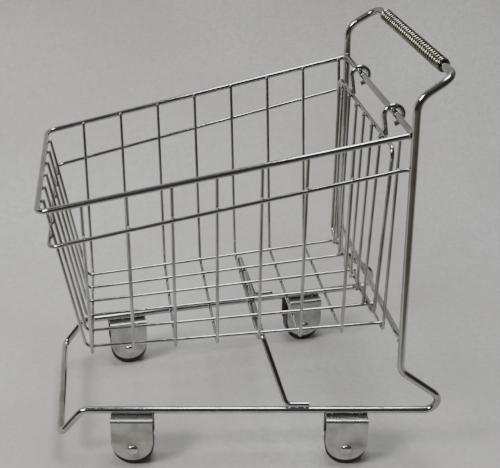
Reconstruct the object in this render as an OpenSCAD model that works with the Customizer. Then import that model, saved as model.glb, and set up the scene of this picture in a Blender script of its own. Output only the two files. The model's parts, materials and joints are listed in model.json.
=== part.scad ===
// A small display shopping cart of welded wire: one bent frame wire, an open
// wire basket, a swinging rear gate on hooks, a coil grip and four fixed wheels.
// Millimetres. +Z up, floor at Z 0, the nose faces -Y, the cart is even about X 0.

/* [Overall] */
// Length over everything, nose to rear bends
cart_l = 207.2; // [170:0.2:250]
// Height of the handle wire's centre
handle_z = 218.8; // [205:0.2:262]
// Spread of the upright posts at their foot, centre to centre
post_w = 144; // [132:0.5:172]

/* [Frame] */
// Frame wire thickness
frame_d = 4; // [3.3:0.1:4.8]
// Width of the nose bar between its corners
nose_w = 93.4; // [78:0.2:112]
// Drop of the nose bar below the rails
nose_drop = 15.6; // [13:0.1:18.7]
// Reach of the nose bar ahead of the front legs
nose_run = 12.8; // [10.7:0.1:15]
// Width between the rails at the front legs
rail_w = 95.6; // [80:0.2:104]
// Splay of each rail from straight, in degrees
toe_a = 7.0; // [5.9:0.1:8]
// Slope of the braces that rise to the posts, in degrees
brace_a = 38.4; // [32:0.2:46]
// Distance of the posts' foot ahead of the rear end
post_set = 24; // [20:0.2:28.8]
// Forward lean of the posts, in degrees
post_lean = 0.97; // [0.8:0.01:1.16]
// Spread of the posts at their top bend
post_top_w = 141.2; // [130:0.2:160]
// Width of the handle between its corners
handle_w = 138.6; // [128:0.2:160]
// Reach of the handle behind the posts' top
handle_run = 17.3; // [14.4:0.1:20.7]
// Rise of the handle above the posts' top bend
handle_rise = 10.8; // [9:0.1:13]

/* [Basket] */
// Wire thickness of the grid, hoops and front wires
grid_d = 1.8; // [1.5:0.05:2.15]
// Rim wire thickness
rim_d = 3; // [2.5:0.1:3.6]
// Second rail wire thickness
second_d = 2.1; // [1.8:0.05:2.5]
// Width of the rim between its front corners
rim_w = 116; // [104:0.5:126]
// Height of the rim at the front
rim_z = 154.8; // [130:0.2:160]
// Rise of the rim to the rear, in degrees
rim_a = 11.3; // [9.4:0.1:13.5]
// Height of the second rail at the front
second_z = 134.5; // [112:0.2:142]
// Rise of the second rail to the rear, in degrees
second_a = 12.2; // [10.2:0.1:14.6]
// Height of the basket floor at the front
floor_z = 68; // [57:0.2:80]
// Rise of the basket floor to the rear, in degrees
floor_a = 3.48; // [2.9:0.02:4.2]
// Set-back of the floor's front bend behind the rim
floor_set = 18.1; // [15:0.1:21.7]
// Width of the floor wires at the front
floor_w = 81.2; // [68:0.2:86]
// Width of the floor wires at the rear
floor_rear_w = 102.6; // [86:0.2:106]
// Width of the first hoop at its foot
hoop_w = 90.4; // [88:0.2:98]
// Width of the last hoop at its foot
hoop_rear_w = 110.9; // [109:0.2:118]
// Set-back of the last hoop's foot behind its top
hoop_set = 2.1; // [1.7:0.1:2.5]

/* [Bars and strut] */
// Hinge bar thickness
hinge_d = 3.3; // [2.8:0.1:3.9]
// Rear bottom bar thickness
low_d = 3.3; // [2.7:0.1:4]
// Height of the rear bottom bar
low_z = 77.5; // [66:0.2:92]
// Strut wire thickness
strut_d = 3; // [2.5:0.1:3.6]
// Gap between the strut's cross bar and the fifth hoop
strut_gap = 0.1; // [0.08:0.02:0.3]
// Width of the strut's cross bar
strut_w = 94; // [80:0.5:100]
// Length of each strut foot along its rail
foot_l = 12.2; // [10.2:0.1:14.6]

/* [Gate] */
// Gate outline wire thickness
gate_d = 2.2; // [1.85:0.05:2.6]
// Width of the gate at its top
gate_w = 117.4; // [106:0.2:122]
// Width of the gate at its bottom
gate_low_w = 103.4; // [92:0.2:103.4]
// Height of the gate outline
gate_h = 97.3; // [86:0.2:98]
// Set-forward of the gate's bottom wire
gate_lean = 1.7; // [1.4:0.1:2.1]
// Drop of the gate's top wire below the hinge bar
gate_drop = 10.4; // [9.6:0.1:12.4]
// Distance between the gate's bars
bar_step = 16.8; // [14:0.1:18.6]
// Hook wire thickness
hook_d = 2.8; // [2.3:0.1:3.3]
// Distance between the hooks
hook_w = 70; // [60:0.5:82]
// Radius of each hook's ring at its wire's centre
hook_r = 4.9; // [4.5:0.05:5.4]
// How far the ring curls under the bar, in degrees
hook_curl = 65; // [54:1:75]
// Distance of the gate's plane ahead of the hinge bar
gate_set = 6.1; // [5.9:0.1:7.3]

/* [Grip] */
// Grip coil wire thickness
coil_d = 1.44; // [1.2:0.02:1.72]
// Grip coil length
coil_l = 106; // [90:0.5:112]

/* [Wheels] */
// Wheel diameter
wheel_d = 22.8; // [19:0.2:27.2]
// Wheel tread width
wheel_w = 11; // [9.2:0.1:11.4]
// Outer width of the wheel bracket
fork_w = 15.3; // [15:0.1:18.3]
// Length of the wheel bracket
fork_l = 22.6; // [19:0.2:24]
// Bracket sheet thickness
sheet = 1; // [0.85:0.05:1.2]
// Axle thickness
axle_d = 3; // [2.5:0.1:3.6]
// Front wheels' distance behind the front legs
front_set = 26.7; // [22.3:0.1:32]
// Rear wheels' distance ahead of the posts
rear_set = 25.9; // [21.6:0.1:31]

/* [Show] */
// Which piece to draw

/* [Hidden] */
$fn = 48;
touch = 0.02;
// Straights run this far into a bend, which is this much stouter than they are
lap = 0.04;
swell = 0.01;
fr = frame_d / 2;
gr = grid_d / 2;
toe = tan(toe_a);
lean = tan(post_lean);
rail_z = wheel_d + 6.8 + sheet + fr;
// Frame corner points
nose_y = -cart_l / 2 + fr + 0.4;
leg_y = nose_y + nose_run;
post_y = cart_l / 2 - post_set;
bend_rear = 6.8;
rear_y = cart_l / 2 - fr - 0.19 + bend_rear * (1 / tan(brace_a / 2) - 1);
brace_z = rail_z + (rear_y - post_y) * tan(brace_a);
top_z = handle_z - handle_rise;
top_y = post_y - (top_z - brace_z) * lean;
handle_y = top_y + handle_run;
function rail_x(y) = rail_w / 2 + toe * (y - leg_y);
function post_at(z) = let (k = (z - brace_z) / (top_z - brace_z))
    [post_w / 2 * (1 - k) + post_top_w / 2 * k, post_y - (z - brace_z) * lean, z];
// Basket lines
rim_y = -cart_l / 2 + rim_d / 2;
function rim_h(y) = rim_z + tan(rim_a) * (y - rim_y);
bar_y = post_y - (rim_h(post_y) - brace_z) * lean - 0.6;
bar_z = rim_h(bar_y) + 0.2;
post_in = post_at(bar_z)[0] - fr;
rim_end_x = post_in + 0.3;
rim_end_y = post_at(bar_z)[1] - fr - 0.25;
function rim_x(y) = rim_w / 2 + (rim_end_x - rim_w / 2) * (y - rim_y) / (rim_end_y - rim_y);
corner_y = rim_y + floor_set;
function floor_h(y) = floor_z + tan(floor_a) * (y - corner_y);
bend_floor = 3.5;
rim_in = rim_d / 2 + gr + touch;
rake = atan((corner_y - rim_y - rim_in) / (rim_z - floor_z));
top_wire_y = rim_y + rim_in / cos(rake);
bend_len = bend_floor * tan((90 - rake + floor_a) / 2);
hoops = 8;
hoop_first = corner_y + bend_len * cos(floor_a);
hoop_last = post_y - 8.2;
function hoop_y(i) = hoop_first + (hoop_last - hoop_first) * (i - 1) / (hoops - 1);
second_y = corner_y - tan(rake) * (second_z - floor_z) - (second_d / 2 + gr + touch) / cos(rake);
function second_h(y) = second_z + tan(second_a) * (y - second_y);
function hoop_low(y) = floor_h(y) - 2 * gr - touch;
second_in = second_d / 2 + gr + touch;
// Side of a hoop that runs straight from a foot half-width to the rim
function on_side(y, foot) = let (z0 = hoop_low(y), x1 = rim_x(y) - rim_in)
    foot + (x1 - foot) * (second_h(y) - z0) / (rim_h(y) - z0) + second_in;
second_x1 = on_side(hoop_first, hoop_w / 2);
second_x2 = on_side(hoop_last, hoop_rear_w / 2);
function second_x(y) = second_x1 + (second_x2 - second_x1) * (y - hoop_first) / (hoop_last - hoop_first);
function foot_y(i) = hoop_y(i) + hoop_set * (i - 1) / (hoops - 1);
// Half-width of a hoop's foot, so that its sides pass just inside the second rail
function hoop_foot(i) = let (y = hoop_y(i), z0 = hoop_low(foot_y(i)), zr = rim_h(y), xr = rim_x(y) - rim_in,
    part = (zr - second_h(y)) / (zr - z0), ys = y + (foot_y(i) - y) * part)
    xr + (second_x(ys) - second_in - xr) * (zr - z0) / (zr - second_h(ys));
// Strut
strut_y = foot_y(5) + gr + strut_d / 2 + strut_gap;
// Gate
hook_z = bar_z + hinge_d / 2 + 0.05 - (hook_r - hook_d / 2);
hook_tail = 1.5;
gate_y = bar_y - gate_set;
gate_top = bar_z - gate_drop;
gate_low = gate_top - gate_h;
gate_bars = 6;
// Grip
coil_turns = 32;
coil_r = (fr + 0.05 + coil_d / 2) / cos(11.25) + 0.03;
coil_sides = 6;
coil_steps = 16;
// Wheels
wheel_r = wheel_d / 2;
axle_r = axle_d / 2;
fork_in = fork_w - 2 * sheet;
front_wheel_y = leg_y + front_set;
rear_wheel_y = post_y - rear_set;
fork_top = rail_z - fr - touch;
fork_arc = 4.9 + fork_l / 2;

steel = [0.74, 0.74, 0.72];
bright = [0.8, 0.8, 0.78];
black = [0.06, 0.06, 0.065];

function unit(v) = v / norm(v);
function turn(a, b, c) = acos(unit(b - a) * unit(c - b));
function back(a, b, c, r) = r * tan(turn(a, b, c) / 2);

// A straight length of round wire from a to b
module rod(a, b, d) {
    v = b - a;
    translate(a) rotate([0, acos(v[2] / norm(v)), atan2(v[1], v[0])]) cylinder(h = norm(v), d = d);
}

// The bend of a round wire at b, coming from a and leaving for c
module bend(a, b, c, r, d) {
    u = unit(b - a);
    w = unit(c - b);
    n = unit(w - u * (u * w));
    o = b - u * back(a, b, c, r) + n * r;
    z = cross(-n, u);
    multmatrix([[-n[0], u[0], z[0], o[0]], [-n[1], u[1], z[1], o[1]],
            [-n[2], u[2], z[2], o[2]], [0, 0, 0, 1]])
        rotate_extrude(angle = turn(a, b, c)) translate([r, 0]) circle(d = d + 2 * swell);
}

// A round wire bent at each inner point of p with the radii r
module wire(p, r, d) {
    last = len(p) - 1;
    for (i = [0 : last - 1]) {
        u = unit(p[i + 1] - p[i]);
        cut1 = i == 0 ? 0 : back(p[i - 1], p[i], p[i + 1], r[i]) - lap;
        cut2 = i == last - 1 ? 0 : back(p[i], p[i + 1], p[i + 2], r[i + 1]) - lap;
        rod(p[i] + u * cut1, p[i + 1] - u * cut2, d);
    }
    for (i = [1 : 1 : last - 1]) bend(p[i - 1], p[i], p[i + 1], r[i], d);
}

// The same wire closed on itself, with a bend at every point
module ring(p, r, d) {
    n = len(p);
    for (i = [0 : n - 1]) {
        a = p[(i + n - 1) % n];
        b = p[i];
        c = p[(i + 1) % n];
        e = p[(i + 2) % n];
        u = unit(c - b);
        rod(b + u * (back(a, b, c, r[i]) - lap), c - u * (back(b, c, e, r[(i + 1) % n]) - lap), d);
        bend(a, b, c, r[i], d);
    }
}

function flip(p) = [-p[0], p[1], p[2]];
// A path of right-hand points followed by the same points on the left, in reverse
function both(p) = concat(p, [for (i = [len(p) - 1 : -1 : 0]) flip(p[i])]);
function twice(r) = concat(r, [for (i = [len(r) - 1 : -1 : 0]) r[i]]);

module frame_loop() {
    nose = [nose_w / 2, nose_y, rail_z - nose_drop];
    pts = [nose, [rail_w / 2, leg_y, rail_z], [rail_x(rear_y), rear_y, rail_z],
        [post_w / 2, post_y, brace_z], [post_top_w / 2, top_y, top_z],
        [handle_w / 2, handle_y, handle_z]];
    color(steel) ring(both(pts), twice([5, 7, bend_rear, 8, 11, 7]), frame_d);
}

module hinge_bar() {
    half = post_in - touch;
    color(bright) rod([-half, bar_y, bar_z], [half, bar_y, bar_z], hinge_d);
}

module low_bar() {
    p = post_at(low_z);
    half = p[0] - fr - touch;
    color(steel) rod([-half, p[1], low_z], [half, p[1], low_z], low_d);
}

module rim() {
    end = [rim_x(rim_end_y), rim_end_y, rim_h(rim_end_y)];
    color(bright) wire(both([end, [rim_w / 2, rim_y, rim_z]]), [0, 6, 6, 0], rim_d);
}

module second_rail() {
    p = post_at(second_h(post_y));
    end = [p[0] - fr - second_d / 2 - touch, p[1], second_h(p[1])];
    joggle = hoop_last;
    color(bright) wire(both([end, [second_x(joggle), joggle, second_h(joggle)],
        [second_x(second_y), second_y, second_z]]), [0, 4, 5, 5, 4, 0], second_d);
}

module hoop(i) {
    y = hoop_y(i);
    top = [rim_x(y) - rim_in, y, rim_h(y)];
    foot = [hoop_foot(i), foot_y(i), hoop_low(foot_y(i))];
    color(bright) wire(both([top, foot]), [0, 2, 2, 0], grid_d);
}

// A floor wire that turns up at the front; k is its place from centre to side
module long_wire(k) {
    end_y = foot_y(hoops) + gr;
    end = [k * floor_rear_w / 2, end_y, floor_h(end_y)];
    low = [k * floor_w / 2, corner_y, floor_z];
    top = [k * (floor_w / 2 + 1.7), top_wire_y, rim_z];
    color(bright) wire([end, low, top], [0, bend_floor, 0], grid_d);
}

module strut() {
    sz = floor_h(strut_y) - gr - strut_d / 2 - touch;
    fz = rail_z + fr + strut_d / 2 + touch;
    y1 = strut_y + 11.4;
    y2 = y1 + foot_l;
    color(steel) wire(both([[rail_x(y2), y2, fz], [rail_x(y1), y1, fz], [strut_w / 2, strut_y, sz]]),
        [0, 3.5, 5, 5, 3.5, 0], strut_d);
}

module gate_outline() {
    a = [gate_w / 2, gate_y, gate_top];
    b = [gate_low_w / 2, gate_y - gate_lean, gate_low];
    color(bright) ring([a, b, flip(b), flip(a)], [5, 6, 6, 5], gate_d);
}

module gate_bar(i) {
    x = bar_step * (i - (gate_bars + 1) / 2);
    y = gate_y - gate_d / 2 - gr - touch;
    k = gate_low_w / gate_w;
    color(bright) rod([x * k, y - gate_lean * (1 + 0.9 / gate_h), gate_low - 0.9],
        [x, y + gate_lean * 1.2 / gate_h, gate_top + 1.2], grid_d);
}

// One wire: a leg behind the gate's top wire, a ring over the bar and a short tail under it.
// Drawn flat, with the bar's side at the middle and the leg as a tangent of the ring
module hook(s) {
    foot = [gate_y - bar_y + (gate_d + hook_d) / 2 + 2 * touch, gate_top - hook_z];
    lean_a = atan2(foot[1], foot[0]) + 360 - acos(hook_r / norm(foot));
    run = sqrt(foot * foot - hook_r * hook_r);
    color(steel) translate([s * hook_w / 2, bar_y, hook_z]) rotate([90, 0, 90]) {
        rotate([0, 0, -hook_curl]) {
            rotate_extrude(angle = lean_a + hook_curl) translate([hook_r, 0]) circle(d = hook_d + 2 * swell);
            translate([hook_r, lap, 0]) rotate([90, 0, 0]) cylinder(h = hook_tail, d = hook_d);
        }
        rotate([0, 0, lean_a]) translate([hook_r, -lap, 0]) rotate([-90, 0, 0])
            cylinder(h = run + 2, d = hook_d);
    }
}

// The grip is one helix, swept as a ring of sides at each step along the turns
module grip_coil() {
    n = coil_turns * coil_steps;
    span = coil_l - coil_d;
    pts = [for (i = [0 : n]) let (a = i * 360 / coil_steps, x = -span / 2 + span * i / n)
        for (j = [0 : coil_sides - 1]) let (b = j * 360 / coil_sides,
            r = coil_r + coil_d / 2 * cos(b))
        [x + coil_d / 2 * sin(b), handle_y + r * cos(a), handle_z + r * sin(a)]];
    sides = [for (i = [0 : n - 1]) for (j = [0 : coil_sides - 1])
        let (k = (j + 1) % coil_sides, p = i * coil_sides, q = p + coil_sides)
        for (t = [[p + j, p + k, q + k], [p + j, q + k, q + j]]) t];
    first = [for (j = [coil_sides - 1 : -1 : 0]) j];
    end = [for (j = [0 : coil_sides - 1]) n * coil_sides + j];
    color(steel) polyhedron(pts, concat(sides, [first, end]));
}

// Places a wheel set at one corner; sx is +1 right or -1 left
module at_wheel(sx, y) {
    translate([sx * rail_x(y), y, 0]) rotate([0, 0, -sx * toe_a]) children();
}

module fork(sx, y) {
    color(steel) at_wheel(sx, y) difference() {
        intersection() {
            translate([0, fork_l / 2, 0]) rotate([90, 0, 0]) linear_extrude(fork_l) difference() {
                channel(fork_w, fork_top, 1.8);
                channel(fork_in, fork_top - sheet, 0.8);
            }
            union() {
                translate([-fork_w, -fork_l / 2, fork_arc]) cube([2 * fork_w, fork_l, fork_top]);
                translate([-fork_w, 0, fork_arc]) rotate([0, 90, 0]) cylinder(h = 2 * fork_w, d = fork_l);
            }
        }
        translate([-fork_w, 0, wheel_r]) rotate([0, 90, 0]) cylinder(h = 2 * fork_w, d = axle_d + 2 * touch);
    }
}

// An upright tab with rounded top corners, w wide and h high
module channel(w, h, r) {
    translate([-w / 2, 0]) square([w, h - r]);
    translate([-w / 2 + r, 0]) square([w - 2 * r, h]);
    for (s = [-1, 1]) translate([s * (w / 2 - r), h - r]) circle(r);
}

module axle(sx, y) {
    half = fork_w / 2 + touch;
    head = axle_r * 2.15;
    dome = 1.6;
    prof = concat([[0, -half - dome]], [for (a = [15 : 15 : 90]) [head * sin(a), -half - dome * cos(a)]],
        [[axle_r, -half], [axle_r, half]], [for (a = [90 : -15 : 15]) [head * sin(a), half + dome * cos(a)]],
        [[0, half + dome]]);
    color(steel) at_wheel(sx, y) translate([0, 0, wheel_r]) rotate([0, 90, 0]) rotate_extrude() polygon(prof);
}

module wheel(sx, y) {
    h = wheel_w / 2;
    hub = fork_in / 2 - 0.3;
    bore = axle_r + 0.05;
    e = 1.2;
    prof = concat([[bore, -hub], [bore + 2.4, -hub], [bore + 2.4, -h], [wheel_r - e, -h]],
        [for (a = [15 : 15 : 90]) [wheel_r - e + e * sin(a), -h + e - e * cos(a)]],
        [for (a = [90 : -15 : 15]) [wheel_r - e + e * sin(a), h - e + e * cos(a)]],
        [[wheel_r - e, h], [bore + 2.4, h], [bore + 2.4, hub], [bore, hub]]);
    color(black) at_wheel(sx, y) translate([0, 0, wheel_r]) rotate([0, 90, 0])
        rotate_extrude($fn = 96) polygon(prof);
}

frame_loop();
hinge_bar();
low_bar();
rim();
second_rail();
hoop(1);  // hoop_1
hoop(2);  // hoop_2
hoop(3);  // hoop_3
hoop(4);  // hoop_4
hoop(5);  // hoop_5
hoop(6);  // hoop_6
hoop(7);  // hoop_7
hoop(8);  // hoop_8
long_wire(-1);  // long_1
long_wire(-0.6);  // long_2
long_wire(-0.2);  // long_3
long_wire(0.2);  // long_4
long_wire(0.6);  // long_5
long_wire(1);  // long_6
strut();
gate_outline();
gate_bar(1);  // gate_bar_1
gate_bar(2);  // gate_bar_2
gate_bar(3);  // gate_bar_3
gate_bar(4);  // gate_bar_4
gate_bar(5);  // gate_bar_5
gate_bar(6);  // gate_bar_6
hook(1);  // hook_right
hook(-1);  // hook_left
grip_coil();
fork(1, front_wheel_y);  // fork_fr
fork(-1, front_wheel_y);  // fork_fl
fork(1, rear_wheel_y);  // fork_rr
fork(-1, rear_wheel_y);  // fork_rl
axle(1, front_wheel_y);  // axle_fr
axle(-1, front_wheel_y);  // axle_fl
axle(1, rear_wheel_y);  // axle_rr
axle(-1, rear_wheel_y);  // axle_rl
wheel(1, front_wheel_y);  // wheel_fr
wheel(-1, front_wheel_y);  // wheel_fl
wheel(1, rear_wheel_y);  // wheel_rr
wheel(-1, rear_wheel_y);  // wheel_rl
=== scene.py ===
# %% [markdown]
# # A small wire shopping cart
# The cart is bright-plated steel wire: one stout frame wire, a tapered basket of thin welded
# wires, a rear gate on two hooks, a coil grip, and black wheels in pressed brackets. The CAD
# model already has every wire at its true gauge and bend, so this script keeps those wires and
# gives them their finish. It adds what the CAD leaves plain: the fine coil, the weld nuggets,
# the moulded wheels and the domed rivets. All lengths are metres, in the CAD model's frame.

import json

import bmesh
import bpy
import numpy as np
from mathutils import Matrix, Vector

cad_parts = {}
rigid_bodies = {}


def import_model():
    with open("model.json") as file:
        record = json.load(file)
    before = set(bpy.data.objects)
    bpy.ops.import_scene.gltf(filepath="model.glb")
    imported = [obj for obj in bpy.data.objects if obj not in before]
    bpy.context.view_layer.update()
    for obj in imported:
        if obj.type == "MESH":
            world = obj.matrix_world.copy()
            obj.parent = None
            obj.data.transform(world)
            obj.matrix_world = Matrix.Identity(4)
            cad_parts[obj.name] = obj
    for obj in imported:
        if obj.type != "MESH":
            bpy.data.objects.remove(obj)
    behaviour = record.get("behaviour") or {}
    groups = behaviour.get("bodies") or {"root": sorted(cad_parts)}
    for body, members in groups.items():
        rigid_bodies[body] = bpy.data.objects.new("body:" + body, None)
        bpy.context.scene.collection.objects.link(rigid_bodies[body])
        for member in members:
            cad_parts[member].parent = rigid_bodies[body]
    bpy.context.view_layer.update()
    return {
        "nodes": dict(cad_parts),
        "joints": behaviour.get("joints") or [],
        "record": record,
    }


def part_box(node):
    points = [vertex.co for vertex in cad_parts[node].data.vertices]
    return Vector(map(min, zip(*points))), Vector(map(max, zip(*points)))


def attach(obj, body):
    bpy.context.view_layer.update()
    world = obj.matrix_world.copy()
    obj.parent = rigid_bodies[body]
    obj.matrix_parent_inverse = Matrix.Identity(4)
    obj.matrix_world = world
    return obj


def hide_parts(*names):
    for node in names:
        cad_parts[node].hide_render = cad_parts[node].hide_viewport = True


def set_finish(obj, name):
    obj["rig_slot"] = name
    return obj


for old in list(bpy.data.objects):
    bpy.data.objects.remove(old)
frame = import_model()
MM = 0.001

# %% [markdown]
# ## Colours and nodes
# Colours are written as sRGB hex, the way paint and plating charts give them, and turned to
# linear light once. A material is a small tree of nodes, so one helper adds a node, sets its
# options and joins its inputs, and every finish below is written with it.

# %% Colour and node helpers
def linear(hex_colour):
    """sRGB to linear: c / 12.92 up to 0.04045, else ((c + 0.055) / 1.055) ** 2.4."""
    c = np.array([int(hex_colour[i:i + 2], 16) for i in (1, 3, 5)]) / 255
    c = np.where(c <= 0.04045, c / 12.92, ((c + 0.055) / 1.055) ** 2.4)
    return (*c.tolist(), 1.0)


def add(tree, kind, inputs=None, **settings):
    """Adds one node. inputs maps a socket's name or number to a value or to another socket."""
    made = tree.nodes.new(kind)
    for key, value in settings.items():
        setattr(made, key, value)
    for key, value in (inputs or {}).items():
        if isinstance(value, bpy.types.NodeSocket):
            tree.links.new(value, made.inputs[key])
        else:
            made.inputs[key].default_value = value
    return made


def start_material(name, metallic, **fixed):
    """A new material with its one shader; fixed values go straight on the shader's sockets."""
    material = bpy.data.materials.new(name)
    material.use_nodes = True
    tree = material.node_tree
    tree.nodes.clear()
    shader = add(tree, "ShaderNodeBsdfPrincipled", {"Metallic": metallic, **fixed})
    add(tree, "ShaderNodeOutputMaterial", {"Surface": shader.outputs["BSDF"]})
    place = add(tree, "ShaderNodeTexCoord").outputs["Object"]
    return material, tree, shader, place


def patches(tree, place, size_mm, low, high, detail=3.0):
    """Soft patches about size_mm across: 0 below low, 1 above high of the noise's range."""
    noise = add(tree, "ShaderNodeTexNoise", {"Vector": place, "Scale": 1 / (size_mm * MM), "Detail": detail})
    limits = {"Value": noise.outputs["Fac"], "From Min": low, "From Max": high}
    return add(tree, "ShaderNodeMapRange", limits).outputs[0]


def blend_colours(tree, factor, first, second):
    """first where factor is 0, second where it is 1; each is a hex colour or a socket."""
    ends = [linear(c) if isinstance(c, str) else c for c in (first, second)]
    mix = add(tree, "ShaderNodeMix", {"Factor": factor, 6: ends[0], 7: ends[1]}, data_type="RGBA")
    return mix.outputs[2]


def spread(tree, factor, low, high):
    """A number that goes from low to high as factor goes from 0 to 1."""
    return add(tree, "ShaderNodeMapRange", {"Value": factor, "To Min": low, "To Max": high}).outputs[0]


def bumped(tree, shader, height, depth_mm):
    """Feeds height, from 0 to 1, to the shader's normal as relief depth_mm deep."""
    bump = add(tree, "ShaderNodeBump", {"Height": height, "Strength": 1.0, "Distance": depth_mm * MM})
    tree.links.new(bump.outputs["Normal"], shader.inputs["Normal"])

# %% [markdown]
# ## Plated wire
# The wire is drawn mild steel with a thin bright nickel-chrome plate. Drawing leaves shallow
# waves, the plate follows them, and years of handling leave a faint warm film in patches. So
# the finish is a metal of low roughness whose colour and gloss drift over a few centimetres,
# with relief of a few hundredths of a millimetre that makes the highlights waver.

# %% Bright plate on drawn wire
def plated(name, clean, filmed, film_mm, gloss, wave_mm, wave_depth_mm):
    """A plated metal: clean and filmed are its two colours, gloss its two roughness values."""
    material, tree, shader, place = start_material(name, 1.0)
    film = patches(tree, place, film_mm, 0.42, 0.72)
    specks = patches(tree, place, 1.6, 0.6, 0.78, 5.0)
    colour = blend_colours(tree, film, clean, filmed)
    colour = blend_colours(tree, spread(tree, specks, 0.0, 0.4), colour, "#6f675a")
    tree.links.new(colour, shader.inputs["Base Color"])
    tree.links.new(spread(tree, film, *gloss), shader.inputs["Roughness"])
    waves = add(tree, "ShaderNodeTexNoise", {"Vector": place, "Scale": 1 / (wave_mm * MM), "Detail": 2.0})
    bumped(tree, shader, waves.outputs["Fac"], wave_depth_mm)
    return material


wire_plate = plated("Nickel-chrome plate on drawn wire", "#bcbdba", "#94928a", 26, (0.1, 0.2), 3.0, 0.045)
# Painted shade: the spring wire's plate is a darker copy of the wire plate, so the creases between the
# coil's turns come out darker.
shade_darkened_spring_plate = plated("Plate on spring wire", "#a9a69b", "#7f7969", 12, (0.15, 0.26), 1.2, 0.03)

# %% [markdown]
# ## Weld nuggets, pressed sheet, rivets
# A spot weld squeezes a small nugget out between two wires. It takes the plate badly, so it is
# duller and browner. The brackets are pressed from one-millimetre sheet and barrel plated:
# satin, with fine lines from the mill's rolls. The rivets are softer steel, hammered to domes.

# %% Weld metal, sheet and rivet steel
weld_steel = plated("Spot-weld steel", "#a9a493", "#6c6350", 4, (0.32, 0.55), 0.7, 0.12)
rivet_steel = plated("Plated rivet steel", "#cbcac6", "#a5a299", 5, (0.2, 0.38), 0.9, 0.05)


def rolled_sheet():
    """Satin plate on rolled sheet; mill lines run along the cart, 0.25 mm apart across it."""
    material, tree, shader, place = start_material("Plated rolled sheet", 1.0)
    film = patches(tree, place, 9, 0.4, 0.75)
    tree.links.new(blend_colours(tree, film, "#bcbcb9", "#96938b"), shader.inputs["Base Color"])
    tree.links.new(spread(tree, film, 0.27, 0.42), shader.inputs["Roughness"])
    stretched = add(tree, "ShaderNodeMapping", {"Vector": place, "Scale": (1.0, 0.06, 1.0)})
    lines = add(tree, "ShaderNodeTexNoise",
                {"Vector": stretched.outputs[0], "Scale": 1 / (0.5 * MM), "Detail": 3.0})
    bumped(tree, shader, lines.outputs["Fac"], 0.02)
    return material


sheet_plate = rolled_sheet()

# %% [markdown]
# ## Moulded wheels
# The wheels are injection-moulded black polypropylene: a hard, slightly waxy plastic (IOR 1.49)
# that scuffs grey where it rolls. The finish reads the piece's UV map, whose V runs round the
# wheel's section, so the scuffs stay on the tread whichever way the wheel stands.

# %% Black polypropylene
def wheel_plastic():
    """Near-black plastic; dust gathers on the tread, where V is near 0."""
    material, tree, shader, place = start_material("Moulded black polypropylene", 0.0, IOR=1.49)
    uv = add(tree, "ShaderNodeUVMap", uv_map="section").outputs[0]
    v = add(tree, "ShaderNodeSeparateXYZ", {0: uv}).outputs[1]
    away = add(tree, "ShaderNodeMath", {0: v, 1: 0.5}, operation="SUBTRACT").outputs[0]
    away = add(tree, "ShaderNodeMath", {0: away}, operation="ABSOLUTE").outputs[0]
    tread = add(tree, "ShaderNodeMapRange", {"Value": away, "From Min": 0.36, "From Max": 0.42}).outputs[0]
    dust = patches(tree, place, 1.3, 0.45, 0.75, 5.0)
    scuffed = add(tree, "ShaderNodeMath", {0: tread, 1: dust}, operation="MULTIPLY").outputs[0]
    colour = blend_colours(tree, patches(tree, place, 6, 0.35, 0.7), "#141415", "#1d1d1e")
    colour = blend_colours(tree, spread(tree, scuffed, 0.0, 0.45), colour, "#55534f")
    tree.links.new(colour, shader.inputs["Base Color"])
    tree.links.new(spread(tree, scuffed, 0.33, 0.7), shader.inputs["Roughness"])
    grain = add(tree, "ShaderNodeTexNoise", {"Vector": place, "Scale": 1 / (0.35 * MM), "Detail": 3.0})
    bumped(tree, shader, grain.outputs["Fac"], 0.02)
    return material


black_plastic = wheel_plastic()

# %% [markdown]
# ## Dress the CAD wires
# Each CAD node keeps its mesh; only its material changes. The record says which slot a node
# belongs to, so one table from slot to finish dresses all of them.

# %% Finishes on the CAD nodes
FINISH = {"bright_wire": wire_plate, "grip_wire": shade_darkened_spring_plate, "bracket_sheet": sheet_plate,
          "rivet_steel": rivet_steel, "wheel_plastic": black_plastic}
for row in frame["record"]["subparts"]:
    mesh = frame["nodes"][row["node"]].data
    mesh.materials.clear()
    mesh.materials.append(FINISH[row["material_slot"]])

# %% [markdown]
# ## Surfaces from arrays
# Every new piece is a skin of rings: an array of m rings with k points each. Neighbouring rings
# are joined by quads. The skin either closes on itself, like a tyre, or ends in two points,
# like a bead. The rings are worked out as whole arrays, so no loop ever visits a vertex.

# %% Skin a set of rings
def ring_quads(m, k, looped):
    """Quads between m rings of k points: (i, j), (i, j+1), (i+1, j+1), (i+1, j), wrapped in j."""
    i, j = np.meshgrid(np.arange(m if looped else m - 1), np.arange(k), indexing="ij")
    i2, j2 = (i + 1) % m, (j + 1) % k
    return np.stack([i * k + j, i * k + j2, i2 * k + j2, i2 * k + j], -1).reshape(-1, 4)


def skin(rings, looped=False):
    """Vertices and faces of a closed skin over rings (m, k, 3), with a point at each open end."""
    m, k, _ = rings.shape
    faces = ring_quads(m, k, looped).tolist()
    points = rings.reshape(-1, 3)
    if not looped:
        ends = np.stack([rings[0].mean(0), rings[-1].mean(0)])
        points = np.vstack([points, ends])
        j = np.arange(k)
        j2 = (j + 1) % k
        first = np.stack([np.full(k, m * k), j2, j], -1)
        last = np.stack([np.full(k, m * k + 1), (m - 1) * k + j, (m - 1) * k + j2], -1)
        faces += first.tolist() + last.tolist()
    return points, faces


def piece(name, points, faces, material, body, slot_name, stands_for=()):
    """Makes a smooth mesh object at the origin and hands it to the frame."""
    mesh = bpy.data.meshes.new(name)
    mesh.from_pydata(np.asarray(points).tolist(), [], faces)
    mesh.polygons.foreach_set("use_smooth", np.ones(len(mesh.polygons), bool))
    mesh.materials.append(material)
    made = bpy.data.objects.new(name, mesh)
    bpy.context.scene.collection.objects.link(made)
    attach(made, body)
    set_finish(made, slot_name)
    if stands_for:
        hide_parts(*stands_for)
    print(name, len(mesh.vertices), "vertices")
    return made

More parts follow.
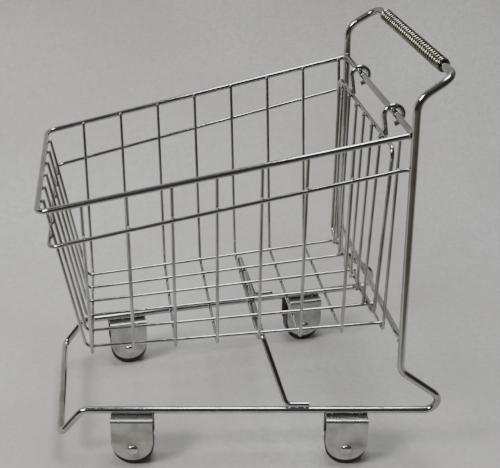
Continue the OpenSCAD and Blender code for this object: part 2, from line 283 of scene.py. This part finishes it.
# %% [markdown]
# ## The coil grip
# The grip is a spring slipped over the handle. Its turns stand a little apart along the middle
# and close up at both ends, where the winding stops. A helix is a circle carried along a path:
# the path turns round the handle while it moves along it, and the speed along it eases to
# almost nothing over the first and last turn.

# %% Wind the coil
def coil_grip(turns=32, steps=40, sides=12):
    """Centreline (x(t), y0 + R cos a, z0 + R sin a), a = 2 pi t; x eases in and out at the ends."""
    low, high = (np.array(c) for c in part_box("grip_coil"))
    wire_r = 0.71 * MM
    radius = (high[1] - low[1]) / 2 - wire_r - 0.03 * MM
    y0, z0 = (low[1:] + high[1:]) / 2
    t = np.linspace(0, turns, turns * steps + 1)
    closed = 1.6
    pace = np.clip(np.minimum(t, turns - t) / closed, 0.28, 1.0)
    travel = np.concatenate([[0], np.cumsum((pace[1:] + pace[:-1]) / 2)])
    x = low[0] + wire_r + travel / travel[-1] * (high[0] - low[0] - 2 * wire_r)
    x = x + 0.12 * MM * np.sin(t * 1.7) * np.sin(np.pi * t / turns)
    a = 2 * np.pi * t
    out = np.stack([np.zeros_like(a), np.cos(a), np.sin(a)], -1)
    centre = np.stack([x, y0 + radius * np.cos(a), z0 + radius * np.sin(a)], -1)
    along = np.gradient(centre, axis=0)
    along /= np.linalg.norm(along, axis=1, keepdims=True)
    side = np.cross(along, out)
    b = np.linspace(0, 2 * np.pi, sides, endpoint=False)
    shrink = np.ones(len(t))
    shrink[[0, -1]] = 0.75
    ring = out[:, None] * np.cos(b)[None, :, None] + side[:, None] * np.sin(b)[None, :, None]
    return skin(centre[:, None] + wire_r * shrink[:, None, None] * ring)


piece("grip_coil_turns", *coil_grip(), shade_darkened_spring_plate, "grip", "grip_wire", ["grip_coil"])

# %% [markdown]
# ## Moulded wheels
# A wheel's section is a rounded rectangle turned about the axle. A superellipse gives that
# shape in one formula. Its half-width grows at the hub, dips in the web between hub and tread,
# and a fine raised line marks where the mould's halves met.

# %% Turn the wheels
CORNERS = {"fr": ("wheel_front_right", 1), "fl": ("wheel_front_left", -1),
           "rr": ("wheel_rear_right", 1), "rl": ("wheel_rear_left", -1)}
SPIN = {joint["child"]: joint for joint in frame["joints"] if joint["child"].startswith("wheel")}


def axle_frame(body):
    """The wheel's centre, and three axes: along the axle, then two across it."""
    joint = SPIN[body]
    along = np.array(joint["axis"]) / np.linalg.norm(joint["axis"])
    up = np.array([0.0, 0.0, 1.0])
    return np.array(joint["pos_m"]), along, np.cross(up, along), up


def turned(body, radius, offset, around):
    """Rings of a shape turned about the axle: centre + along * offset + radius round it."""
    centre, along, fore, up = axle_frame(body)
    a = np.linspace(0, 2 * np.pi, around, endpoint=False)
    rim = np.cos(a)[:, None] * fore + np.sin(a)[:, None] * up
    return centre + along * offset[:, None, None] + rim[None] * radius[:, None, None]


def wheel_section(samples=120):
    """Superellipse r = rc + a |cos u|^(2/n), x = h(r) |sin u|^(2/n), with signs kept, n = 7."""
    wheel_r, bore_r, tread_half, hub_half = 11.4 * MM, 1.55 * MM, 5.5 * MM, 6.35 * MM
    u = np.linspace(0, 2 * np.pi, samples, endpoint=False)
    power = 2 / 7
    mid, reach = (wheel_r + bore_r) / 2, (wheel_r - bore_r) / 2
    r = mid + reach * np.sign(np.cos(u)) * np.abs(np.cos(u)) ** power
    hub = 1 / (1 + np.exp((r - 4.2 * MM) / (0.15 * MM)))
    half = tread_half + (hub_half - tread_half) * hub
    half = half - 0.9 * MM * np.exp(-((r - 6.6 * MM) / (1.3 * MM)) ** 4)
    x = half * np.sign(np.sin(u)) * np.abs(np.sin(u)) ** power
    r = r - 0.06 * MM * (1 - np.exp(-(x / (0.2 * MM)) ** 2)) * (r > mid)
    return r, x


for corner, (body, _) in CORNERS.items():
    rings = turned(body, *wheel_section(), around=96)
    points, faces = skin(rings, looped=True)
    wheel = piece("wheel_shell_" + corner, points, faces, black_plastic, body, "wheel_plastic",
                  ["wheel_" + corner])
    m, k, _ = rings.shape
    loop_points = np.empty(len(wheel.data.loops), int)
    wheel.data.loops.foreach_get("vertex_index", loop_points)
    section_map = np.stack([loop_points % k / k, loop_points // k / m], -1)
    wheel.data.uv_layers.new(name="section").data.foreach_set("uv", section_map.ravel())

# %% [markdown]
# ## Rivets
# Each axle is a rivet: a plain shank through wheel and bracket, with a hammered dome at each
# end. The dome is a squashed ball whose crown has a shallow pit from the rivet set.

# %% Turn the rivets
def rivet_profile(corner):
    """Radius and place along the axle, from one crown over the shank to the other."""
    low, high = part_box("axle_" + corner)
    head = (high[2] - low[2]) / 2
    dome, half, shank = 1.58 * MM, 7.67 * MM, 1.5 * MM
    angle = np.linspace(0.04, np.pi / 2, 14)
    crown_r = head * np.sin(angle) ** 0.9
    crown_x = half + dome * np.cos(angle) - 0.22 * MM * np.exp(-(crown_r / (0.8 * MM)) ** 2)
    seat = head * 0.985
    r = np.concatenate([crown_r, [seat, shank, shank, seat], crown_r[::-1]])
    x = np.concatenate([crown_x, [half, half, -half, -half], -crown_x[::-1]])
    return r[::-1], x[::-1]


for corner, (body, _) in CORNERS.items():
    rings = turned(body, *rivet_profile(corner), around=40)
    piece("rivet_" + corner, *skin(rings), rivet_steel, "cart", "rivet_steel", ["axle_" + corner])

# %% [markdown]
# ## Where the wires touch
# A weld sits where two wires touch. Rather than repeat the CAD's sums, the script cuts a wire's
# mesh with a plane and takes the middle of the cut: that is the wire's centre there. Two such
# centres give the touching point between them.

# %% Cut a wire with a plane
X, Y, Z = 0, 1, 2
meshes = {}


def triangles(node):
    """The node's vertices and triangles as arrays, read once."""
    if node not in meshes:
        mesh = frame["nodes"][node].data
        points = np.empty(len(mesh.vertices) * 3)
        mesh.vertices.foreach_get("co", points)
        mesh.calc_loop_triangles()
        corners = np.empty(len(mesh.loop_triangles) * 3, int)
        mesh.loop_triangles.foreach_get("vertices", corners)
        meshes[node] = points.reshape(-1, 3), corners.reshape(-1, 3)
    return meshes[node]


def centre_at(node, axis, at, side=0):
    """Middle of the cut of a wire by the plane axis = at; side keeps one half of the cart."""
    points, tris = triangles(node)
    edges = np.vstack([tris[:, [0, 1]], tris[:, [1, 2]], tris[:, [2, 0]]])
    a, b = points[edges[:, 0]], points[edges[:, 1]]
    crossed = (a[:, axis] - at) * (b[:, axis] - at) < 0
    a, b = a[crossed], b[crossed]
    cut = a + (b - a) * ((at - a[:, axis]) / (b[:, axis] - a[:, axis]))[:, None]
    if side:
        cut = cut[cut[:, 0] * side > 0]
    return (cut.min(0) + cut.max(0)) / 2


def middle(node, axis):
    """The middle of a node's box along one axis."""
    low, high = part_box(node)
    return (low[axis] + high[axis]) / 2

# %% Touching points of the basket, strut and gate
GRID_R, SECOND_R, RIM_R, STRUT_R, GATE_R = (d / 2 * MM for d in (1.8, 2.1, 3.0, 3.0, 2.2))
RAILS = (("second_rail", SECOND_R, 0.0, 1.0), ("rim", RIM_R, 0.5 * MM, 1.15))
HOOPS = ["hoop_%d" % i for i in range(1, 9)]
LONGS = ["long_%d" % i for i in range(1, 7)]
GATE_BARS = ["gate_bar_%d" % i for i in range(1, 7)]
FLAT = {X: (0.42, 0.9, 1.05), Y: (0.95, 0.42, 0.95), Z: (0.95, 0.95, 0.42)}
cart_welds, gate_welds = [], []


def weld(store, point, facing, size=1.0):
    """Notes a nugget at point, thin along the facing axis; size scales it."""
    store.append((np.array(point), np.array(FLAT[facing]) * MM * size))


for hoop in HOOPS:
    y_top, y_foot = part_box(hoop)[0][Y] + GRID_R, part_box(hoop)[1][Y] - GRID_R
    for long_wire in LONGS:
        c = centre_at(long_wire, Y, y_foot)
        weld(cart_welds, (c[X], y_foot, c[Z] - GRID_R), Z)
    for side in (1, -1):
        for rail, rail_r, drop, size in RAILS:
            y = y_top + 0.2 * (y_foot - y_top) * (rail == "second_rail")
            c = centre_at(rail, Y, y, side)
            weld(cart_welds, (c[X] - side * rail_r, y, c[Z] - drop), X, size)
for long_wire in LONGS:
    for rail, rail_r, drop, size in RAILS:
        low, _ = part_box(rail)
        bar = centre_at(long_wire, Z, low[Z] + rail_r - drop)
        weld(cart_welds, (bar[X], low[Y] + 2 * rail_r, bar[Z]), Y, size)
strut_low, strut_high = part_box("strut")
strut_mid = strut_low[Y] + STRUT_R
for long_wire in LONGS[1:-1]:
    c = centre_at("strut", X, centre_at(long_wire, Y, strut_mid)[X])
    weld(cart_welds, (c[X], c[Y], strut_high[Z] - 0.01 * MM), Z, 1.2)
for side in (1, -1):
    for y in (strut_high[Y] - 2 * MM, strut_high[Y] - 6 * MM, strut_high[Y] - 10 * MM):
        rail = centre_at("strut", Y, y, side)
        weld(cart_welds, (rail[X], y, strut_low[Z]), Z, 1.5)
gate_low, gate_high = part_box("gate_outline")
for bar in GATE_BARS:
    for z in (gate_low[Z] + GATE_R, gate_high[Z] - GATE_R):
        c = centre_at(bar, Z, z)
        weld(gate_welds, (c[X], gate_low[Y], z), Y, 1.05)
for hook in ("hook_right", "hook_left"):
    weld(gate_welds, (middle(hook, X), gate_high[Y], gate_high[Z] - GATE_R), Y, 1.5)
second_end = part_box("second_rail")[1][Y] - 0.8 * MM
for side in (1, -1):
    tip = centre_at("second_rail", Y, second_end, side)
    weld(cart_welds, (tip[X] + side * SECOND_R, second_end, tip[Z]), X, 1.8)
for corner in CORNERS:
    low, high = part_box("fork_" + corner)
    centre, _, fore, _ = axle_frame(CORNERS[corner][0])
    for step in (-7.5, -2.5, 2.5, 7.5):
        spot = centre + fore * step * MM
        weld(cart_welds, (spot[X], spot[Y], high[Z]), Z, 1.3)
print(len(cart_welds), "welds on the cart,", len(gate_welds), "on the gate")

# %% [markdown]
# ## Weld nuggets
# Each nugget is a small flattened ball squeezed out round the touching point. They are made
# together as one mesh per body. No two are quite alike: seeded random numbers change each one's
# size by up to a fifth and push it a twentieth of a millimetre off its place.

# %% Make the nuggets
def nuggets(welds, around=14, bands=9):
    """Ball (sin p cos a, sin p sin a, cos p) scaled by each weld's half-sizes, moved to it."""
    rng = np.random.default_rng(7)
    places = np.array([w[0] for w in welds])
    sizes = np.array([w[1] for w in welds])
    sizes = sizes * rng.uniform(0.85, 1.2, sizes.shape)
    places = places + rng.uniform(-0.05, 0.05, places.shape) * MM
    p = np.linspace(0.12, np.pi - 0.12, bands)
    a = np.linspace(0, 2 * np.pi, around, endpoint=False)
    ball = np.stack([np.sin(p)[:, None] * np.cos(a), np.sin(p)[:, None] * np.sin(a),
                     np.cos(p)[:, None] * np.ones(around)], -1)
    unit_points, unit_faces = skin(ball)
    points = places[:, None] + sizes[:, None] * unit_points[None]
    faces = []
    for number in range(len(welds)):
        start = number * len(unit_points)
        faces += [[start + i for i in face[::-1]] for face in unit_faces]
    return points.reshape(-1, 3), faces


piece("basket_welds", *nuggets(cart_welds), weld_steel, "cart", "bright_wire")
piece("gate_welds", *nuggets(gate_welds), weld_steel, "gate", "bright_wire")

# %% [markdown]
# ## Butt-weld collars
# Where a bar's end meets the side of a post, the weld makes a small collar round the end. It is
# a ring: a circle of weld metal carried round the bar, fatter below, where the metal sagged.

# %% Collars at the bars' ends
def collar(centre, along, bar_r, bead_r, around=28, sides=10):
    """Torus round the axis along: bar_r + bead cos b outwards, bead sin b along the bar."""
    along = np.array(along) / np.linalg.norm(along)
    across = np.cross(along, [0.0, 0.0, 1.0])
    across /= np.linalg.norm(across)
    up = np.cross(across, along)
    a = np.linspace(0, 2 * np.pi, around, endpoint=False)
    b = np.linspace(0, 2 * np.pi, sides, endpoint=False)
    bead = bead_r * (1 + 0.18 * np.sin(3 * a + 1) - 0.15 * np.sin(a))
    out = np.cos(a)[:, None] * across + np.sin(a)[:, None] * up
    ring = (bar_r + bead[:, None] * np.cos(b))[..., None] * out[:, None]
    ring = ring + (bead[:, None] * np.sin(b))[..., None] * along
    return np.array(centre) + ring


def end_collars():
    """One collar at each end of the hinge bar, low bar and rim."""
    rings = []
    for node in ("hinge_bar", "low_bar"):
        low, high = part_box(node)
        bar_r = (high[Z] - low[Z]) / 2
        for side in (1, -1):
            end = (side * (high[X] - 0.2 * MM), (low[Y] + high[Y]) / 2, (low[Z] + high[Z]) / 2)
            rings.append(collar(end, (1, 0, 0), bar_r, 0.5 * MM))
    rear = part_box("rim")[1][Y]
    for side in (1, -1):
        tip = centre_at("rim", Y, rear - 0.7 * MM, side)
        back = centre_at("rim", Y, rear - 1.6 * MM, side)
        rings.append(collar(tip, tip - back, RIM_R, 0.4 * MM))
    return rings


def joined(all_rings):
    """One mesh of several closed rings."""
    points, faces, start = [], [], 0
    for rings in all_rings:
        p, f = skin(rings, looped=True)
        points.append(p)
        faces += (np.array(f) + start).tolist()
        start += len(p)
    return np.vstack(points), faces


piece("end_collars", *joined(end_collars()), weld_steel, "cart", "bright_wire")

# %% Turn each new skin's faces outwards and print its volume
for made in [o for o in bpy.data.objects if o.type == "MESH" and "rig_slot" in o]:
    shell = bmesh.new()
    shell.from_mesh(made.data)
    bmesh.ops.recalc_face_normals(shell, faces=shell.faces)
    shell.to_mesh(made.data)
    print(made.name, "volume %.1f mm3" % (shell.calc_volume() / MM ** 3))
    shell.free()

# %% [markdown]
# ## The table
# The cart stands on a pale cloth-covered table that sweeps up behind it. A sweep has no corner,
# so the background stays even: the surface is a floor, a quarter circle and a wall, carried
# sideways.

# %% Floor and sweep
def pale_cloth():
    """Unbleached cotton sheet: matt off-white with a 0.9 mm weave and soft wide shading; towards the camera,
    from x 0.14 to 0.22 m, it is painted dark, painted shade that the wires reflect as a dark room in front.
    """
    material, tree, shader, place = start_material("Pale cotton cloth", 0.0, Roughness=0.9)
    shade = patches(tree, place, 160, 0.3, 0.75, 2.0)
    mottle = patches(tree, place, 4, 0.35, 0.7, 4.0)
    near = add(tree, "ShaderNodeSeparateXYZ", {0: place}).outputs[0]
    # Painted shade: from x 0.14 to 0.22 m, on the camera side, the cloth fades to dark #615b51 so the wires
    # reflect darkness there.
    painted_dark_front = add(tree, "ShaderNodeMapRange", {"Value": near, "From Min": 0.14, "From Max": 0.22}).outputs[0]
    cloth_colour = blend_colours(tree, shade, "#c9c7c3", "#b5b1a9")
    cloth_colour = blend_colours(tree, spread(tree, mottle, 0.0, 0.5), cloth_colour, "#aeaca8")
    tree.links.new(blend_colours(tree, painted_dark_front, cloth_colour, "#615b51"), shader.inputs["Base Color"])
    weave = add(tree, "ShaderNodeTexNoise", {"Vector": place, "Scale": 1 / (2.2 * MM), "Detail": 4.0})
    bumped(tree, shader, weave.outputs["Fac"], 0.45)
    return material


def sweep(depth=0.34, height=1.1, bend=0.25, half_width=1.6, front=1.6):
    """Section (x, z): flat from +front, a quarter circle of radius bend, then straight up."""
    a = np.linspace(0, np.pi / 2, 24)
    x = np.concatenate([[front], -depth + bend - bend * np.sin(a), [-depth]])
    z = np.concatenate([[0], bend - bend * np.cos(a), [height]])
    y = np.array([-half_width, half_width])
    grid = np.stack([np.repeat(x[:, None], 2, 1), np.repeat(y[None], len(x), 0),
                     np.repeat(z[:, None], 2, 1)], -1)
    i = np.arange(len(x) - 1)
    return grid.reshape(-1, 3), np.stack([2 * i, 2 * i + 1, 2 * i + 3, 2 * i + 2], -1)


points, faces = sweep()
sheet = bpy.data.meshes.new("cloth sweep")
sheet.from_pydata(points.tolist(), [], faces.tolist())
sheet.polygons.foreach_set("use_smooth", np.ones(len(faces), bool))
sheet.materials.append(pale_cloth())
cloth = bpy.data.objects.new("cloth sweep", sheet)
bpy.context.scene.collection.objects.link(cloth)

# %% [markdown]
# ## Light
# Bright metal shows its surroundings, so the light is arranged for reflections: a broad soft
# light high on the left, a weaker one overhead, a pale room behind the cart and a dim one in
# front. Each wire then has a light edge above and a dark line below it.

# %% Soft lights and room
def soft_light(name, place, size, power, hex_colour):
    """A square area light of that size in metres, aimed at the cart's middle."""
    lamp = bpy.data.lights.new(name, "AREA")
    lamp.shape = "SQUARE"
    lamp.size = size
    lamp.energy = power
    lamp.color = linear(hex_colour)[:3]
    holder = bpy.data.objects.new(name, lamp)
    holder.location = place
    aim = Vector((0, 0, 0.1)) - Vector(place)
    holder.rotation_euler = aim.to_track_quat("-Z", "Y").to_euler()
    bpy.context.scene.collection.objects.link(holder)


soft_light("broad window light", (0.55, -0.85, 0.95), 0.4, 12.5, "#fdfdfb")
soft_light("overhead light", (0.0, 0.1, 1.25), 0.5, 9.5, "#f2f6ff")

world = bpy.data.worlds.new("pale room")
world.use_nodes = True
room = world.node_tree
room.nodes.clear()
direction = add(room, "ShaderNodeTexCoord").outputs["Generated"]
towards = add(room, "ShaderNodeSeparateXYZ", {0: direction})
front = add(room, "ShaderNodeMapRange",
            {"Value": towards.outputs[0], "From Min": -0.5, "From Max": 0.1}).outputs[0]
above = add(room, "ShaderNodeMapRange",
            {"Value": towards.outputs[2], "From Min": 0.45, "From Max": 0.8}).outputs[0]
walls = blend_colours(room, front, "#c9ced4", "#57524a")
sky = blend_colours(room, above, walls, "#8d9196")
light = add(room, "ShaderNodeBackground", {"Color": sky, "Strength": 0.5})
add(room, "ShaderNodeOutputWorld", {"Surface": light.outputs[0]})
bpy.context.scene.world = world

# %% [markdown]
# ## Camera
# The view is from the cart's right side, a little ahead of it and about 25 degrees above, with
# a long lens. The place and the two angles are all it needs; a small shift frames the cart.

# %% Place the camera
SENSOR = 36.0
camera_place = Vector((0.4935, -0.0622, 0.3491))
azimuth, elevation, roll = (np.radians(a) for a in (-7.38, 25.49, 0.17))
lens = bpy.data.cameras.new("camera")
lens.sensor_width = SENSOR
lens.lens = 70.81
lens.shift_x = 0.0269
lens.shift_y = -0.0055
lens.clip_start = 0.01
camera = bpy.data.objects.new("camera", lens)
level = np.cos(elevation)
back_way = Vector((level * np.cos(azimuth), level * np.sin(azimuth), np.sin(elevation)))
right_way = Vector((0, 0, 1)).cross(back_way).normalized()
up_way = back_way.cross(right_way)
turn = Matrix.Rotation(roll, 3, back_way)
axes = Matrix((turn @ right_way, turn @ up_way, back_way)).transposed()
camera.matrix_world = Matrix.Translation(camera_place) @ axes.to_4x4()
bpy.context.scene.collection.objects.link(camera)
bpy.context.scene.camera = camera
